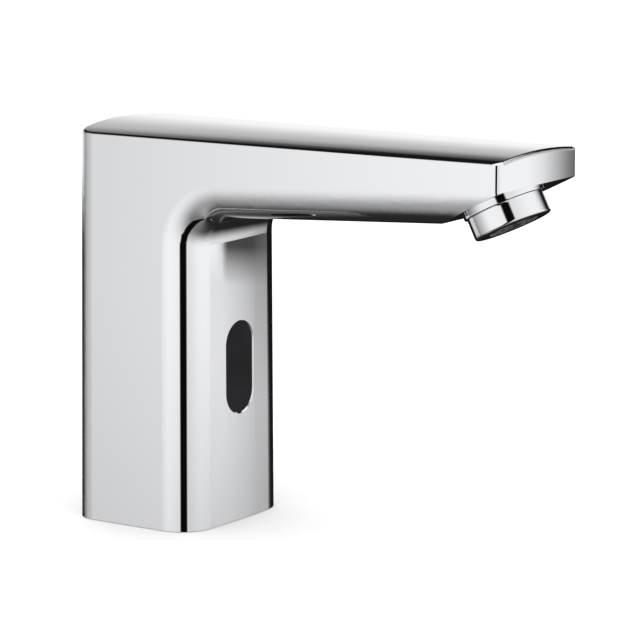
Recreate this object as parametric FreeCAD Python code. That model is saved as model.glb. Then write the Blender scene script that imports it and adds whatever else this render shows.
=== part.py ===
import FreeCAD, Part
import math
import os

os.makedirs("parts", exist_ok=True)

# Sensor tap for a wash basin. Millimetres. The origin is on the deck, on the column's centre
# line. The spout and the sensor face -Y, the sky is +Z.

# ---- Outer body: an upright column that turns into a long flat spout ----
body_height = 145.0          # deck to the roof's edge, above the column's centre line
roof_rise = 0.43             # degrees that the roof climbs toward the tip
roof_crown = 2.2             # how far the roof's middle stands above its edges
column_depth = 56.0          # front face to back face, in the middle
front_bow = 1.4              # how far the front face's middle stands before its sides
back_bow = 3.5               # the same for the back face
back_lean = 0.6              # degrees that the back leans forward, about its middle
column_width = 60.3          # side to side, at the roof
base_flare = 1.0             # each side leans out by this much from roof to deck
spout_reach = 155.5          # column centre line to the end face
tip_width = 52.4             # side to side, at the end face
spout_depth = 29.2           # roof to the spout's underside, where it leaves the column
underside_rise = 3.6         # degrees that the underside climbs toward the tip
throat_radius = 11.0         # hollow round between column front and underside
corner_radius = 13.0         # rounded long edges of column and spout, at the front
back_corner_radius = 9.0
tip_corner_radius = 3.0      # upright edges of the end face
nose_height = 9.6            # end face, top to bottom
seat_tilt = 27.0             # degrees that the aerator's seat leans forward
seat_blend_radius = 18.0     # round between underside and seat
roof_edge_radius = 1.3
wall = 3.0

# ---- Aerator and its socket, M24 x 1 ----
aerator_setback = 16.15      # nose edge to the aerator's centre, along the seat
aerator_radius = 14.2
aerator_height = 8.0
aerator_rim_bevel = 0.9
collar_radius = 15.1         # raised ring that the aerator screws up against
collar_height = 1.25
thread_core_radius = 11.46   # wall of the female thread
socket_depth = 7.0
chamber_radius = 8.0
chamber_height = 3.5
boss_wall = 4.0              # metal round the socket
spigot_height = 5.0          # threaded part of the ring above the collar
ring_bore_radius = 10.3
ring_lip = 1.0               # inward lip that holds the insert
ring_lip_height = 1.4
insert_wall = 1.2
grid_pitch = 2.0
grid_hole = 1.45
grid_height = 2.0
regulator_height = 2.0
regulator_hole_radius = 0.7
regulator_hole_count = 12
mesh_height = 0.6
mesh_hole_radius = 0.9
mesh_hole_pitch = 2.7        # circle to circle
mesh_ring_count = 3
washer_height = 1.8
washer_wall = 3.0

# ---- Sensor, behind a window in the column's front ----
window_width = 16.6
window_length = 34.3
window_height = 57.7         # deck to the window's centre
window_recess = 0.5
window_bevel = 0.4           # bevel round the opening, on the skin
window_flange = 2.5          # flange behind the wall, beyond the opening
window_flange_height = 1.5
gasket_height = 1.0
sensor_case_depth = 8.4
sensor_case_wall = 1.2
board_height = 1.2
board_gap = 1.2              # board to the case's back wall
board_leg_radius = 1.0
board_leg_inset = 2.0
diode_radius = 2.5
diode_spacing = 18.0
baffle_height = 1.2
ear_length = 8.4
ear_width = 9.0
ear_height = 2.4
sensor_boss_radius = 4.0
sensor_boss_length = 3.8

# ---- Foot: base plate, seal, screws ----
plate_height = 8.0
seal_width = 2.2
seal_height = 1.5
seal_margin = 1.0            # plate edge to the seal's groove
stud_core_radius = 3.32      # M8
stud_spacing = 21.0
stud_y = -8.0
lock_height = 5.0            # deck to the locking screw at the back
lock_screw_radius = 2.1
lock_pocket_depth = 1.2

# ---- Water inlet, M10 x 1 female ----
inlet_y = 9.8
inlet_core_radius = 4.459
inlet_thread_length = 8.0
inlet_fitting_radius = 6.5
inlet_fitting_height = 12.5
strainer_height = 3.0
strainer_wall = 0.5
strainer_inset = 1.6         # fitting's outside to the strainer's cup
strainer_shelf = 1.5         # shelf that the strainer rests on
strainer_hole_radius = 0.55
strainer_hole_pitch = 1.4    # circle to circle
strainer_ring_count = 2
inlet_ring_wire = 0.8        # radius of the O-ring's section

# ---- Check valve cartridge ----
cartridge_height = 10.8
cartridge_wall = 1.9
cartridge_floor = 1.5
cartridge_hole_radius = 2.6
poppet_radius = 3.6
poppet_height = 1.3
stem_radius = 1.15
guide_height = 1.3
guide_hole_radius = 1.0
guide_hole_count = 4

# ---- Valve block and pilot valve ----
block_inset = 2.7            # plate's edge to the block, at the sides
block_front_inset = 12.3     # plate's edge to the block, at the front
block_back_inset = 0.8
block_height = 32.0
block_corner = 6.0
block_bevel = 0.8            # round the block's top
valve_x = -4.0
valve_y = 1.5
annulus_radius = 11.5
annulus_depth = 6.0
seat_radius = 5.5
seat_bore_radius = 3.6
seat_drop = 1.6              # block top to the seat's lip, and the diaphragm's travel
feed_radius = 2.2
cross_radius = 3.0
cross_drop = 11.5            # block top to the cross way's centre line
diaphragm_radius = 12.9
diaphragm_rim_height = 1.15
diaphragm_skin = 1.1
bleed_radius = 0.35          # hole that fills the chamber above the diaphragm
insert_flange_radius = 6.0
insert_flange_height = 1.2
insert_stem_radius = 2.1
insert_foot_radius = 3.2
insert_foot_height = 1.2
pilot_radius = 0.6
pilot_boss_radius = 1.5
pilot_boss_height = 1.0
bonnet_width = 26.0
bonnet_height = 8.0
bonnet_chamber_radius = 10.3
bonnet_chamber_height = 4.5
bonnet_corner = 2.5
bonnet_bevel = 0.8           # round the bonnet's top
bonnet_screw_inset = 2.8

# ---- Solenoid ----
plunger_radius = 4.0
plunger_length = 11.5
plunger_nose_radius = 2.5
plunger_nose_length = 6.5
plunger_travel = 2.2
plunger_seal_radius = 1.9
plunger_seal_height = 1.5
plunger_bore_radius = 2.8
plunger_bore_depth = 4.0
tube_wall = 0.5
tube_flange_radius = 6.4
tube_flange_height = 1.0
core_height = 8.0
coil_radius = 10.5
coil_height = 20.0
bobbin_wall = 1.0
bobbin_flange = 1.5
winding_inset = 0.6          # winding below the edge of the bobbin's flanges
yoke_thickness = 1.5
yoke_width = 14.0
magnet_height = 2.0
magnet_radius = 8.0
nut_across = 12.0
nut_height = 3.0

# ---- Spout tube ----
spout_tube_radius = 4.5
spout_tube_bore = 3.6
spout_tube_x = 17.5
tube_roof_gap = 1.5          # roof's inside to the tube's level run
spout_tube_bend = 22.0       # radius of the upright bend
sway_radius = 60.0           # radius of the two sideways bends
sway_lead_in = 9.5           # straight run after the upright bend
sway_lead_out = 28.5         # straight run before the port
tube_socket_depth = 8.0
port_radius = 2.6
port_socket_depth = 3.8
port_face_setback = 19.0     # aerator's centre back to the face that the tube meets
port_end_setback = 8.5
port_face_margin = 3.0       # flat round the port
port_face_depth = 8.0        # how far that flat is cleared toward the column
o_ring_wire = 0.7            # radius of the tube O-rings' section

# ---- Battery ----
battery_width = 34.8
battery_depth = 19.5
battery_height = 35.8
battery_corner = 8.6
battery_x = -6.9
battery_setback = 2.05       # hollow's back to the battery
holder_wall = 1.2
holder_floor = 2.5
standoff_across = 5.5
standoff_height = 40.0
standoff_stud = 6.0
cap_height = 2.0
contact_radius = 3.0
contact_height = 0.5
contact_spacing = 17.0

# ---- Leads inside the column ----
lead_radius = 0.75
coil_lead_x = -7.0
coil_lead_y = -7.2           # where it stands on the coil's top flange
coil_lead_rise = 12.0        # sensor case to the bend
battery_lead_x = 7.0
battery_lead_y = 12.0
battery_lead_rise = 3.0      # battery cap to the bend

# ---- Screws ----
m3_radius = 1.2
m3_head_radius = 2.75
m3_head_height = 1.8
m4_radius = 1.95
m4_head_radius = 3.5
m4_head_height = 3.0
block_screw_x = 19.0
block_screw_front = -4.0
block_screw_back = 17.0
block_screw_bite = 9.0       # length in the block
block_screw_sink = 1.0       # deck to the sunk heads
sensor_screw_bite = 3.9
bonnet_screw_bite = 7.0
socket_share = 0.5           # hex socket across flats, as a share of the head's width
socket_depth_share = 0.6     # hex socket's depth, as a share of the head's height

# ---- Springs ----
spring_wire = 0.22           # radius of the wire
spring_turn_count = 5
spring_point_count = 12      # points on each turn that the wire's line runs through

# ---- Clearances ----
drop_in = 0.3                # casing over base plate
seat_gap = 0.05              # between pieces that press together
running = 0.06               # between a moving piece and its bore
slip = 0.1                   # a piece that is put in by hand


def vec(x, y, z):
    return FreeCAD.Vector(x, y, z)


def rod(radius, low, high, x=0.0, y=0.0):
    """Upright cylinder between two heights."""
    return Part.makeCylinder(radius, high - low, vec(x, y, low))


def pipe(outer, inner, low, high, x=0.0, y=0.0):
    """Upright tube between two heights."""
    return rod(outer, low, high, x, y).cut(rod(inner, low - 1, high + 1, x, y))


def rod_y(radius, front, back, x, z):
    """Cylinder along Y between two distances."""
    return Part.makeCylinder(radius, back - front, vec(x, front, z), vec(0, 1, 0))


def brick(x0, x1, y0, y1, z0, z1):
    """Box between three pairs of planes."""
    return Part.makeBox(x1 - x0, y1 - y0, z1 - z0, vec(x0, y0, z0))


def upright_edges(solid):
    """Edges of a solid that run straight up."""
    found = []
    for edge in solid.Edges:
        ends = [v.Point for v in edge.Vertexes]
        if len(ends) == 2 and abs(ends[0].x - ends[1].x) + abs(ends[0].y - ends[1].y) < 1e-6:
            found.append(edge)
    return found


def level_edges(solid, height):
    """Edges of a solid that lie at one height."""
    found = []
    for edge in solid.Edges:
        if abs(edge.BoundBox.ZMin - height) + abs(edge.BoundBox.ZMax - height) < 1e-5:
            found.append(edge)
    return found


def rounded_brick(x0, x1, y0, y1, z0, z1, radius):
    """Box with its four upright edges rounded."""
    solid = brick(x0, x1, y0, y1, z0, z1)
    return solid.makeFillet(radius, upright_edges(solid))


def hexagon(across, low, high, x=0.0, y=0.0):
    """Upright hexagonal prism, by its width across flats."""
    radius = across / math.sqrt(3)
    corners = []
    for k in range(7):
        angle = math.radians(60 * k)
        corners.append(vec(x + radius * math.cos(angle), y + radius * math.sin(angle), low))
    return Part.Face(Part.makePolygon(corners)).extrude(vec(0, 0, high - low))


def turned(outline, x=0.0, y=0.0):
    """Solid turned about an upright line, from (radius, height) points."""
    points = [vec(x + r, y, z) for r, z in outline]
    points.append(points[0])
    face = Part.Face(Part.makePolygon(points))
    return face.revolve(vec(x, y, 0), vec(0, 0, 1), 360)


def ring(major, wire, x, y, z, axis=(0, 0, 1)):
    """O-ring round a line through a point."""
    return Part.makeTorus(major, wire, vec(x, y, z), vec(*axis))


def together(shapes):
    """Separate solids in one node."""
    return Part.makeCompound(shapes)


def round_holes(count, reach, radius, low, high, x=0.0, y=0.0):
    """Upright holes evenly spaced on a circle."""
    holes = []
    for k in range(count):
        angle = 2 * math.pi * k / count
        hole_x = x + reach * math.cos(angle)
        hole_y = y + reach * math.sin(angle)
        holes.append(rod(radius, low, high, hole_x, hole_y))
    return holes


def rings_of_holes(count, pitch, radius, low, high, x=0.0, y=0.0):
    """A middle hole and circles of holes round it, with six more on each circle."""
    holes = [rod(radius, low, high, x, y)]
    for k in range(1, count + 1):
        holes += round_holes(6 * k, k * pitch, radius, low, high, x, y)
    return holes


def coil_spring(mean_radius, low, high, x, y):
    """Round-wire spring that stands between two heights."""
    pitch = (high - low - 2 * spring_wire) / spring_turn_count
    points = []
    for k in range(spring_turn_count * spring_point_count + 1):
        turn = k / spring_point_count
        angle = 2 * math.pi * turn
        points.append(vec(mean_radius * math.cos(angle), mean_radius * math.sin(angle), pitch * turn))
    curve = Part.BSplineCurve()
    curve.interpolate(points)
    start = curve.tangent(curve.FirstParameter)[0]
    section = Part.Wire([Part.Circle(points[0], start, spring_wire).toShape()])
    coil = Part.Wire([curve.toShape()]).makePipeShell([section], True, True)
    coil.translate(vec(x, y, low + spring_wire))
    return coil


def socket_screw(radius, length, head_radius, head_height):
    """Screw with a hex socket, head down at the origin and shank up."""
    screw = rod(head_radius, 0, head_height).fuse(rod(radius, head_height, head_height + length))
    across = 2 * head_radius * socket_share
    return screw.cut(hexagon(across, -1, head_height * socket_depth_share))


# ---- Outer form ----
throat_height = body_height - spout_depth


def yz(y, z):
    return vec(0, y, z)


def slope(degrees):
    return math.tan(math.radians(degrees))


def roof(y):
    """Height of the roof's edge at a distance along the spout."""
    return body_height - y * slope(roof_rise)


def underside(y):
    """Height of the spout's underside at a distance along it."""
    return throat_height - (y + column_depth / 2) * slope(underside_rise)


def nose_bottom():
    return roof(-spout_reach) - nose_height


def seat(y):
    """Height of the aerator's seat plane at a distance along the spout."""
    return nose_bottom() - (y + spout_reach) * slope(seat_tilt)


def half_width(y, z):
    """Half the body's width at a distance along the spout and a height."""
    taper = (column_width - tip_width) / 2 / spout_reach
    return column_width / 2 + taper * y + base_flare * (1 - z / body_height)


def offset_up(degrees, inset):
    """How far up a line of that slope moves when it is set in square to itself."""
    return inset / math.cos(math.radians(degrees))


def corner_arc(before, corner, after, radius):
    """Start, middle and end of the arc that rounds a corner between two lines."""
    u = (before - corner).normalize()
    v = (after - corner).normalize()
    half = math.acos(max(-1.0, min(1.0, u.dot(v)))) / 2
    middle_line = (u + v).normalize()
    reach = radius / math.tan(half)
    centre = corner + middle_line * (radius / math.sin(half))
    return corner + u * reach, centre - middle_line * radius, corner + v * reach


def line(a, b):
    return Part.LineSegment(a, b).toShape()


def arc(a, b, c):
    return Part.Arc(a, b, c).toShape()


def bow_radius(bow):
    """Radius of an arc over the column's width whose middle stands out by a bow."""
    half = column_width / 2
    return (half ** 2 + bow ** 2) / (2 * bow)


def side_outline(inset, bottom, roof_lift):
    """L-shaped outline seen from the side, set in from the skin by a distance."""
    back = column_depth / 2 - inset
    tip = -spout_reach + inset
    up = offset_up(underside_rise, inset)
    down = offset_up(roof_rise, inset) - roof_lift
    low_back = yz(back, bottom)
    top_back = yz(back, roof(back) - down)
    top_tip = yz(tip, roof(tip) - down)
    low_tip = yz(tip, underside(tip) + up)
    throat = yz(-back, underside(-back) + up)
    low_front = yz(-back, bottom)
    start, middle, end = corner_arc(low_tip, throat, low_front, throat_radius + inset)
    edges = [
        line(low_back, top_back),
        line(top_back, top_tip),
        line(top_tip, low_tip),
        line(low_tip, start),
        arc(start, middle, end),
        line(end, low_front),
        line(low_front, low_back),
    ]
    return Part.Wire(edges)


def side_planes(inset):
    """Solid between the two leaning, tapering side planes."""
    y_ends = (-spout_reach - 20, column_depth)
    z_ends = (-20, body_height + 20)
    corners = {}
    for side in (-1, 1):
        for y in y_ends:
            for z in z_ends:
                corners[side, y, z] = vec(side * (half_width(y, z) - inset), y, z)
    y0, y1 = y_ends
    z0, z1 = z_ends
    loops = [
        [(-1, y0, z0), (-1, y1, z0), (-1, y1, z1), (-1, y0, z1)],
        [(1, y0, z0), (1, y0, z1), (1, y1, z1), (1, y1, z0)],
        [(-1, y0, z0), (1, y0, z0), (1, y1, z0), (-1, y1, z0)],
        [(-1, y0, z1), (-1, y1, z1), (1, y1, z1), (1, y0, z1)],
        [(-1, y0, z0), (-1, y0, z1), (1, y0, z1), (1, y0, z0)],
        [(-1, y1, z0), (1, y1, z0), (1, y1, z1), (-1, y1, z1)],
    ]
    faces = []
    for loop in loops:
        points = [corners[key] for key in loop]
        faces.append(Part.Face(Part.makePolygon(points + points[:1])))
    return Part.Solid(Part.Shell(faces))


def seat_cutter(inset):
    """What is taken off under the tip: the leaning seat and its round into the underside."""
    up_seat = offset_up(seat_tilt, inset)
    up_under = offset_up(underside_rise, inset)
    gap = nose_bottom() + up_seat - spout_reach * slope(seat_tilt)
    gap -= throat_height - column_depth / 2 * slope(underside_rise) + up_under
    meet_y = gap / (slope(seat_tilt) - slope(underside_rise))
    far = -spout_reach - 10
    near = meet_y + 30
    low = throat_height - 30
    meet = yz(meet_y, seat(meet_y) + up_seat)
    behind = yz(near, underside(near) + up_under)
    ahead = yz(far, seat(far) + up_seat)
    start, middle, end = corner_arc(behind, meet, ahead, seat_blend_radius - inset)
    edges = [
        arc(start, middle, end),
        line(end, ahead),
        line(ahead, yz(far, low)),
        line(yz(far, low), yz(start.y, low)),
        line(yz(start.y, low), start),
    ]
    return widened(Part.Wire(edges))


def widened(outline):
    """Side outline pushed out across the full width."""
    span = column_width
    solid = Part.Face(outline).extrude(vec(2 * span, 0, 0))
    solid.translate(vec(-span, 0, 0))
    return solid


def long_edges(solid, inset):
    """Long edges on the side planes: column front and back, throat and underside."""
    found = []
    for edge in solid.Edges:
        middle = edge.valueAt((edge.FirstParameter + edge.LastParameter) / 2)
        on_side = abs(abs(middle.x) - half_width(middle.y, middle.z) + inset) < 0.01
        below_roof = middle.z < roof(middle.y) - inset - 1
        behind_tip = middle.y > -spout_reach + inset + 0.5
        ends = [v.Point for v in edge.Vertexes]
        level = abs(ends[0].z - ends[-1].z) < 1e-6
        if on_side and below_roof and behind_tip and not level:
            found.append(edge)
    return found


def plain_form(inset, bottom, roof_lift):
    """Column and spout with their long edges rounded, set in from the skin."""
    solid = widened(side_outline(inset, bottom, roof_lift)).common(side_planes(inset))
    solid = solid.makeFillet(corner_radius - inset, long_edges(solid, inset))
    return solid.cut(seat_cutter(inset))


def crowned(solid):
    """Form with a gently arched roof."""
    half = column_width / 2
    radius = (half ** 2 + roof_crown ** 2) / (2 * roof_crown)
    lean = math.radians(roof_rise)
    along = vec(0, -math.cos(lean), math.sin(lean))
    start = vec(0, 0, roof(0) + roof_crown - radius) - along * (spout_reach + 50)
    return solid.common(Part.makeCylinder(radius, 2 * spout_reach + 100, start, along))


def tip_edges(solid):
    """The end face's two upright edges."""
    found = []
    for edge in solid.Edges:
        ends = [v.Point for v in edge.Vertexes]
        at_tip = all(abs(p.y + spout_reach) < 1e-3 for p in ends)
        if at_tip and abs(ends[0].z - ends[-1].z) > nose_height / 2:
            found.append(edge)
    return found


def roof_edges(solid):
    """Edges round the roof."""
    found = []
    for edge in solid.Edges:
        middle = edge.valueAt((edge.FirstParameter + edge.LastParameter) / 2)
        if middle.z > roof(middle.y) - 0.05:
            found.append(edge)
    return found


def under_spout():
    """Room before the column and under the spout, swung about a far upright line to bow them."""
    axis = vec(0, bow_radius(front_bow) - column_depth / 2, 0)
    front = -column_depth / 2
    far = -spout_reach - 20
    low_front = yz(front, -1)
    low_tip = yz(far, underside(far))
    throat = yz(front, underside(front))
    start, middle, end = corner_arc(low_tip, throat, low_front, throat_radius)
    edges = [
        line(low_tip, start),
        arc(start, middle, end),
        line(end, low_front),
        line(low_front, yz(far, -1)),
        line(yz(far, -1), low_tip),
    ]
    face = Part.Face(Part.Wire(edges))
    swing = math.degrees(2 * column_width / bow_radius(front_bow))
    face.rotate(axis, vec(0, 0, 1), -swing / 2)
    return face.revolve(axis, vec(0, 0, 1), swing)


def behind_back():
    """What is taken off behind the column so that its back bows outward."""
    back = column_depth / 2
    high = body_height + 20
    radius = bow_radius(back_bow)
    block = brick(-column_width, column_width, back - 2 * back_bow, back + 10, -10, high)
    block = block.cut(rod(radius, -11, high + 1, 0, back - radius))
    block.rotate(vec(0, back, body_height / 2), vec(1, 0, 0), back_lean)
    return block


def corner_edges(solid, at_back):
    """Long edges where the side planes meet the back, or the front, throat and underside."""
    found = []
    for edge in solid.Edges:
        middle = edge.valueAt((edge.FirstParameter + edge.LastParameter) / 2)
        on_side = abs(abs(middle.x) - half_width(middle.y, middle.z)) < 0.02
        between = 1 < middle.z < roof(middle.y) - 1 and middle.y > -spout_reach + 1
        if on_side and between and (middle.y > 0) == at_back:
            found.append(edge)
    return found


def outer_form():
    high = body_height + 20
    block = brick(-column_width, column_width, -spout_reach, column_depth / 2 + 5, 0, high)
    solid = block.common(side_planes(0)).cut([under_spout(), behind_back()])
    solid = solid.makeFillet(back_corner_radius, corner_edges(solid, True))
    solid = solid.makeFillet(corner_radius, corner_edges(solid, False))
    solid = crowned(solid.cut(seat_cutter(0)))
    solid = solid.makeFillet(tip_corner_radius, tip_edges(solid))
    return solid.makeFillet(roof_edge_radius, roof_edges(solid))


seat_centre_y = -spout_reach + aerator_setback * math.cos(math.radians(seat_tilt))


def on_seat(solid):
    """Moves a solid from the upright frame of the aerator to its leaning seat."""
    turn = FreeCAD.Rotation(vec(1, 0, 0), -seat_tilt)
    place = FreeCAD.Placement(vec(0, seat_centre_y, seat(seat_centre_y)), turn)
    moved = solid.copy()
    moved.Placement = place.multiply(moved.Placement)
    return moved


def stadium(width, length, front, back):
    """Upright round-ended bar that runs from front to back, centred on the window."""
    radius = width / 2
    straight = length / 2 - radius
    body = brick(-radius, radius, front, back, window_height - straight, window_height + straight)
    top = rod_y(radius, front, back, 0, window_height + straight)
    low = rod_y(radius, front, back, 0, window_height - straight)
    return body.fuse([top, low]).removeSplitter()


front_face = -column_depth / 2
front_inside = front_face + wall
back_inside = column_depth / 2 - wall
case_front = front_inside + gasket_height + window_flange_height
case_back = case_front + sensor_case_depth
case_half_width = window_width / 2 + window_flange + sensor_case_wall
case_half_length = window_length / 2 + window_flange + sensor_case_wall
ear_front = front_inside + sensor_boss_length
ear_heights = [
    window_height - case_half_length - ear_length / 2,
    window_height + case_half_length + ear_length / 2,
]
tube_socket_radius = spout_tube_radius + slip
o_ring_groove = 2 * (o_ring_wire + slip)
port_face_y = seat_centre_y + port_face_setback
port_end_y = seat_centre_y + port_end_setback
port_ring_y = port_face_y - port_socket_depth / 2
tube_level = body_height - wall - tube_roof_gap - spout_tube_radius


def opening_edges(solid):
    """Rim of the window's opening on the skin."""
    found = []
    for edge in solid.Edges:
        box = edge.BoundBox
        before_hollow = box.YMax < front_inside - window_bevel
        within = abs(box.XMin) < window_width and abs(box.XMax) < window_width
        beside = abs(box.Center.z - window_height) < window_length
        if before_hollow and within and beside:
            found.append(edge)
    return found


def tap_body():
    hollow = plain_form(wall, -1, 0)
    boss_radius = thread_core_radius + boss_wall
    hollow = hollow.cut(on_seat(rod(boss_radius, -20, 40)))
    face_radius = spout_tube_radius + port_face_margin
    port_face = rod_y(face_radius, port_face_y, port_face_y + port_face_depth, 0, tube_level)
    hollow = hollow.fuse(port_face.common(plain_form(wall, -1, 0)))
    body = outer_form().cut(hollow)
    body = body.fuse(on_seat(rod(collar_radius, -collar_height, 1)))
    body = body.cut(on_seat(rod(thread_core_radius, -collar_height - 1, socket_depth)))
    body = body.cut(on_seat(rod(chamber_radius, socket_depth - 1, socket_depth + chamber_height)))
    way = rod_y(port_radius, port_end_y, port_face_y, 0, tube_level)
    way_socket = rod_y(
        tube_socket_radius, port_face_y - port_socket_depth, port_face_y + 1, 0, tube_level
    )
    groove = rod_y(
        spout_tube_radius + 2 * o_ring_wire + seat_gap,
        port_ring_y - o_ring_groove / 2,
        port_ring_y + o_ring_groove / 2,
        0,
        tube_level,
    )
    body = body.cut([way, way_socket, groove])
    body = body.cut(stadium(window_width, window_length, front_face - 1, front_inside + 1))
    body = body.makeChamfer(window_bevel, opening_edges(body))
    for z in ear_heights:
        body = body.fuse(rod_y(sensor_boss_radius, front_inside - 1, ear_front, 0, z))
        tapped = ear_front - sensor_screw_bite - slip
        body = body.cut(rod_y(m3_radius + slip / 2, tapped, ear_front + 1, 0, z))
    lock = rod_y(lock_screw_radius + seat_gap, back_inside - 1, column_depth / 2 + 1, 0, lock_height)
    return body.cut(lock).removeSplitter()


# ---- Sensor ----
def sensor_window():
    opening = stadium(
        window_width - 2 * slip, window_length - 2 * slip, front_face + window_recess, case_front
    )
    flange_front = case_front - window_flange_height
    width = window_width + 2 * window_flange
    length = window_length + 2 * window_flange
    return opening.fuse(stadium(width, length, flange_front, case_front)).removeSplitter()


def window_gasket():
    width = window_width + 2 * window_flange
    length = window_length + 2 * window_flange
    back = front_inside + gasket_height
    full = stadium(width, length, front_inside, back)
    return full.cut(stadium(window_width, window_length, front_inside - 1, back + 1))


def sensor_case():
    low = window_height - case_half_length
    high = window_height + case_half_length
    half = case_half_width
    case = brick(-half, half, case_front, case_back, low, high)
    inner = sensor_case_wall
    pocket = brick(
        -half + inner, half - inner, case_front - 1, case_back - inner, low + inner, high - inner
    )
    for z in ear_heights:
        ear = brick(
            -ear_width / 2,
            ear_width / 2,
            ear_front,
            ear_front + ear_height,
            z - ear_length / 2,
            z + ear_length / 2,
        )
        case = case.fuse(ear)
    case = case.cut(pocket)
    for z in ear_heights:
        case = case.cut(rod_y(m3_radius + slip, ear_front - 1, ear_front + ear_height + 1, 0, z))
    return case.removeSplitter()


board_back = case_back - sensor_case_wall - board_gap
board_front = board_back - board_height


def sensor_circuit_board():
    half = case_half_width - sensor_case_wall - drop_in
    reach = case_half_length - sensor_case_wall - drop_in
    low = window_height - reach
    high = window_height + reach
    board = brick(-half, half, board_front, board_back, low, high)
    post = half - board_leg_inset
    legs = []
    for x in (-post, post):
        for z in (low + board_leg_inset, high - board_leg_inset):
            legs.append(rod_y(board_leg_radius, board_back, case_back - sensor_case_wall, x, z))
    return board.fuse(legs)


def diode(z):
    """Round-nosed diode that looks out through the window."""
    centre = case_front + drop_in + diode_radius
    nose = Part.makeSphere(diode_radius, vec(0, centre, z), vec(0, -1, 0), 0, 90, 360)
    barrel = rod_y(diode_radius, centre, board_front, 0, z)
    return nose.fuse(barrel).removeSplitter()


def infrared_emitter():
    return diode(window_height + diode_spacing / 2)


def infrared_receiver():
    return diode(window_height - diode_spacing / 2)


def light_baffle():
    half = case_half_width - sensor_case_wall - drop_in
    low = window_height - baffle_height / 2
    high = window_height + baffle_height / 2
    return brick(-half, half, case_front, board_front, low, high)


def sensor_screws():
    screws = []
    for z in ear_heights:
        screw = socket_screw(m3_radius, ear_height + sensor_screw_bite, m3_head_radius, m3_head_height)
        screw.rotate(vec(0, 0, 0), vec(1, 0, 0), 90)
        screw.translate(vec(0, ear_front + ear_height + m3_head_height, z))
        screws.append(screw)
    return together(screws)


# ---- Foot ----
plate_half_width = half_width(front_inside, plate_height) - wall - drop_in
plate_back = back_inside - drop_in
plate_corner = corner_radius - wall - drop_in
stud_x = stud_spacing / 2
fitting_hole = inlet_fitting_radius + slip
block_screw_places = [
    (side * block_screw_x, y) for side in (-1, 1) for y in (block_screw_front, block_screw_back)
]
block_screw_head_top = m4_head_height + block_screw_sink


def plate_slab(margin, low, high):
    """Slab of the base plate's outline, set in by a margin."""
    half = plate_half_width - margin
    back = plate_back - margin
    return rounded_brick(-half, half, -back, back, low, high, plate_corner - margin)


def seal_form():
    outer = plate_slab(seal_margin, 0, seal_height)
    return outer.cut(plate_slab(seal_margin + seal_width, -1, seal_height + 1))


def base_plate():
    plate = plate_slab(0, 0, plate_height).cut(seal_form())
    holes = [rod(fitting_hole, -1, plate_height + 1, 0, inlet_y)]
    for side in (-1, 1):
        holes.append(rod(stud_core_radius, -1, plate_height + 1, side * stud_x, stud_y))
    for x, y in block_screw_places:
        holes.append(rod(m4_radius + slip, -1, plate_height + 1, x, y))
        holes.append(rod(m4_head_radius + slip, -1, block_screw_head_top, x, y))
    holes.append(
        rod_y(lock_screw_radius + slip, plate_back - lock_pocket_depth, plate_back + 1, 0, lock_height)
    )
    return plate.cut(holes)


def base_seal():
    return seal_form()


def body_locking_screw():
    tip = plate_back - lock_pocket_depth + seat_gap
    head = column_depth / 2 - seat_gap
    screw = rod_y(lock_screw_radius, tip, head, 0, lock_height)
    across = 2 * lock_screw_radius * socket_share
    recess = hexagon(across, 0, (head - tip) / 2)
    recess.rotate(vec(0, 0, 0), vec(1, 0, 0), 90)
    recess.translate(vec(0, head + seat_gap, lock_height))
    return screw.cut(recess)


def block_screws():
    screws = []
    for x, y in block_screw_places:
        shank = plate_height - block_screw_head_top + block_screw_bite
        screw = socket_screw(m4_radius, shank, m4_head_radius, m4_head_height)
        screw.translate(vec(x, y, block_screw_head_top - m4_head_height))
        screws.append(screw)
    return together(screws)


# ---- Water inlet and check valve ----
inlet_bore_radius = inlet_fitting_radius + slip
cartridge_low = inlet_fitting_height + 2 * slip
cartridge_high = cartridge_low + cartridge_height
inlet_bore_top = cartridge_high + 2 * slip
strainer_low = inlet_fitting_height - strainer_height
strainer_radius = inlet_fitting_radius - strainer_inset
inlet_ring_height = (plate_height + inlet_fitting_height) / 2
cartridge_ring_height = (cartridge_low + cartridge_high) / 2
ring_seat = inlet_bore_radius - 2 * inlet_ring_wire


def ring_groove(height):
    """Groove that an O-ring sits in, round the inlet's axis."""
    low = height - inlet_ring_wire - seat_gap
    high = height + inlet_ring_wire + seat_gap
    return pipe(inlet_fitting_radius + 1, ring_seat, low, high, 0, inlet_y)


def inlet_fitting():
    body = rod(inlet_fitting_radius, 0, inlet_fitting_height, 0, inlet_y)
    thread = rod(inlet_core_radius, -1, inlet_thread_length, 0, inlet_y)
    way = rod(strainer_radius - strainer_shelf, 0, inlet_fitting_height, 0, inlet_y)
    cup = rod(strainer_radius, strainer_low, inlet_fitting_height + 1, 0, inlet_y)
    return body.cut([thread, way, cup, ring_groove(inlet_ring_height)])


def inlet_o_ring():
    return ring(ring_seat + inlet_ring_wire, inlet_ring_wire, 0, inlet_y, inlet_ring_height)


def inlet_strainer():
    outer = strainer_radius - seat_gap
    low = strainer_low
    high = inlet_fitting_height
    cup = rod(outer, low, high, 0, inlet_y)
    cup = cup.cut(rod(outer - strainer_wall, low + strainer_wall, high + 1, 0, inlet_y))
    floor_top = low + strainer_wall
    holes = rings_of_holes(
        strainer_ring_count,
        strainer_hole_pitch,
        strainer_hole_radius,
        low - 1,
        floor_top + 1,
        0,
        inlet_y,
    )
    return cup.cut(holes)


def check_valve_housing():
    radius = inlet_fitting_radius
    inner = radius - cartridge_wall
    body = rod(radius, cartridge_low, cartridge_high, 0, inlet_y)
    well = rod(inner, cartridge_low + cartridge_floor, cartridge_high + 1, 0, inlet_y)
    mouth = rod(cartridge_hole_radius, cartridge_low - 1, cartridge_high, 0, inlet_y)
    return body.cut([well, mouth, ring_groove(cartridge_ring_height)])


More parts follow.
